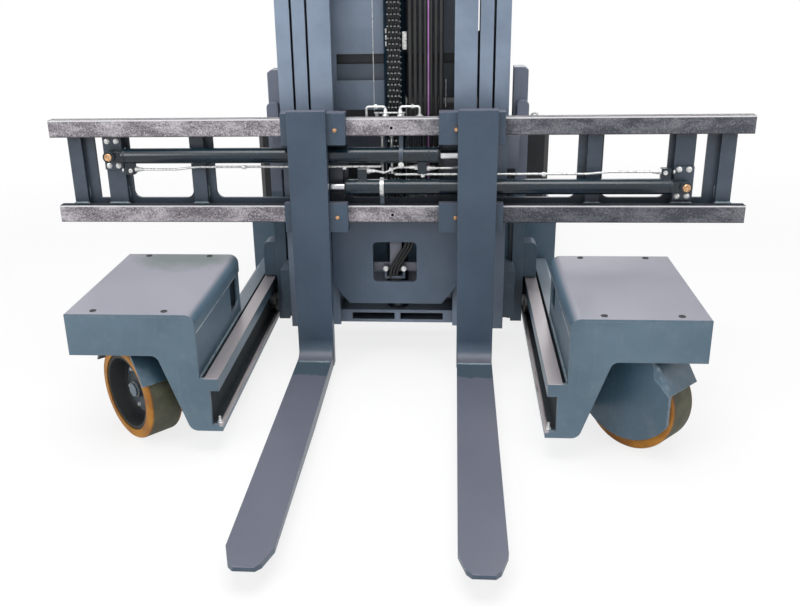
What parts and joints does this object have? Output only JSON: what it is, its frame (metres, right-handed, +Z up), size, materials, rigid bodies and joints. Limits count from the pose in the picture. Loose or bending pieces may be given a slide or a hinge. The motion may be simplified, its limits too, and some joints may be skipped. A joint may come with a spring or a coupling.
{
  "type": "multi-directional reach truck",
  "caption": "Ride-on reach truck with straddle legs, steered load wheels, a three-stage mast and a wide fork carriage with cylinder-driven fork positioning.",
  "frame": {"origin": "centre of the footprint, on the floor under the wheels", "axes": "+X to the truck's right as seen from behind the load, +Y from the forks towards the rear of the truck, +Z up"},
  "size_m": [2.4, 3.2, 2.4],
  "materials": {
    "slate_paint": "satin blue-grey paint, lightly worn",
    "warm_paint": "satin blue-grey paint, dusty on top",
    "dark_paint": "dark slate paint",
    "fork_paint": "dark slate paint with a purple-grey sheen",
    "cylinder_paint": "dark green-slate gloss paint",
    "bare_steel": "bare rolled steel, mottled",
    "rod_chrome": "hard chrome",
    "roller_steel": "greasy bearing steel",
    "zinc": "zinc plated",
    "chain_steel": "oiled black chain",
    "hose_rubber": "black rubber",
    "wheel_tyre": "amber polyurethane, olive-brown tread",
    "hub_iron": "dark cast iron",
    "black_plastic": "grained black plastic",
    "black_box": "black painted steel",
    "seat_vinyl": "black vinyl"
  },
  "bodies": {
    "chassis": {"main_frame": "slate_paint", "left_leg": "slate_paint", "right_leg": "slate_paint", "left_leg_cover": "warm_paint", "right_leg_cover": "warm_paint", "battery": "black_box", "rear_body": "slate_paint", "motor_hood": "slate_paint", "overhead_guard": "dark_paint", "seat_base": "black_plastic", "seat_cushion": "seat_vinyl", "seat_backrest": "seat_vinyl", "control_console": "black_plastic", "steering_wheel": "black_plastic", "reach_cylinder": "cylinder_paint"},
    "left_carrier": {"left_wheel_carrier": "slate_paint"},
    "right_carrier": {"right_wheel_carrier": "slate_paint"},
    "left_load_wheel": {"left_load_tyre": "wheel_tyre", "left_load_hub": "hub_iron"},
    "right_load_wheel": {"right_load_tyre": "wheel_tyre", "right_load_hub": "hub_iron"},
    "drive_head": {"drive_unit": "hub_iron"},
    "drive_wheel": {"drive_tyre": "wheel_tyre", "drive_hub": "hub_iron"},
    "reach_carriage": {"reach_frame": "slate_paint", "reach_rollers": "roller_steel", "reach_rod": "rod_chrome", "outer_mast": "dark_paint", "lift_cylinders": "cylinder_paint"},
    "middle_stage": {"middle_mast": "dark_paint", "middle_mast_rollers": "roller_steel", "lift_rods": "rod_chrome"},
    "inner_stage": {"inner_mast": "dark_paint", "inner_mast_rollers": "roller_steel", "free_lift_cylinder": "cylinder_paint"},
    "free_lift": {"free_lift_head": "rod_chrome"},
    "lift_carriage": {"carriage_plate": "slate_paint", "carriage_rollers": "roller_steel", "fork_bars": "bare_steel", "fork_frame": "slate_paint", "cylinder_anchors": "slate_paint", "positioner_cylinders": "cylinder_paint", "positioner_pipes": "zinc", "lift_chain": "chain_steel", "mast_hoses": "hose_rubber"},
    "left_fork_slide": {"left_fork": "fork_paint", "left_positioner_rod": "rod_chrome"},
    "right_fork_slide": {"right_fork": "fork_paint", "right_positioner_rod": "rod_chrome"}
  },
  "joints": [
    {"name": "left_steer", "type": "hinge", "parent": "chassis", "child": "left_carrier", "pos_m": [-0.786, -0.795, 0.4], "axis": [0, 0, 1], "range_deg": [-52, 48]},
    {"name": "right_steer", "type": "hinge", "parent": "chassis", "child": "right_carrier", "pos_m": [0.786, -0.795, 0.4], "axis": [0, 0, 1], "range_deg": [-52, 48]},
    {"name": "left_wheel_spin", "type": "hinge", "parent": "left_carrier", "child": "left_load_wheel", "pos_m": [-0.786, -0.795, 0.156], "axis": [-0.682, -0.7314, 0], "continuous": true},
    {"name": "right_wheel_spin", "type": "hinge", "parent": "right_carrier", "child": "right_load_wheel", "pos_m": [0.786, -0.795, 0.156], "axis": [-0.682, -0.7314, 0], "continuous": true},
    {"name": "drive_steer", "type": "hinge", "parent": "chassis", "child": "drive_head", "pos_m": [0, 1.39, 0.4], "axis": [0, 0, 1], "range_deg": [-95, 95]},
    {"name": "drive_spin", "type": "hinge", "parent": "drive_head", "child": "drive_wheel", "pos_m": [0, 1.39, 0.18], "axis": [1, 0, 0], "continuous": true},
    {"name": "reach", "type": "slide", "parent": "chassis", "child": "reach_carriage", "axis": [0, -1, 0], "range_m": [0, 0.6]},
    {"name": "mast_lift", "type": "slide", "parent": "reach_carriage", "child": "middle_stage", "axis": [0, 0, 1], "range_m": [0, 1.5]},
    {"name": "inner_lift", "type": "slide", "parent": "middle_stage", "child": "inner_stage", "axis": [0, 0, 1], "range_m": [0, 1.5]},
    {"name": "free_lift_rise", "type": "slide", "parent": "inner_stage", "child": "free_lift", "axis": [0, 0, 1], "range_m": [0, 0.725]},
    {"name": "carriage_lift", "type": "slide", "parent": "inner_stage", "child": "lift_carriage", "axis": [0, 0, 1], "range_m": [0, 1.45], "deforming": ["lift_chain", "mast_hoses"]},
    {"name": "left_fork_spread", "type": "slide", "parent": "lift_carriage", "child": "left_fork_slide", "axis": [-1, 0, 0], "range_m": [-0.09, 0.125]},
    {"name": "right_fork_spread", "type": "slide", "parent": "lift_carriage", "child": "right_fork_slide", "axis": [1, 0, 0], "range_m": [-0.09, 0.125]}
  ],
  "couplings": [
    {"joint": "inner_lift", "follows": "mast_lift", "ratio": 1},
    {"joint": "carriage_lift", "follows": "free_lift_rise", "ratio": 2}
  ]
}
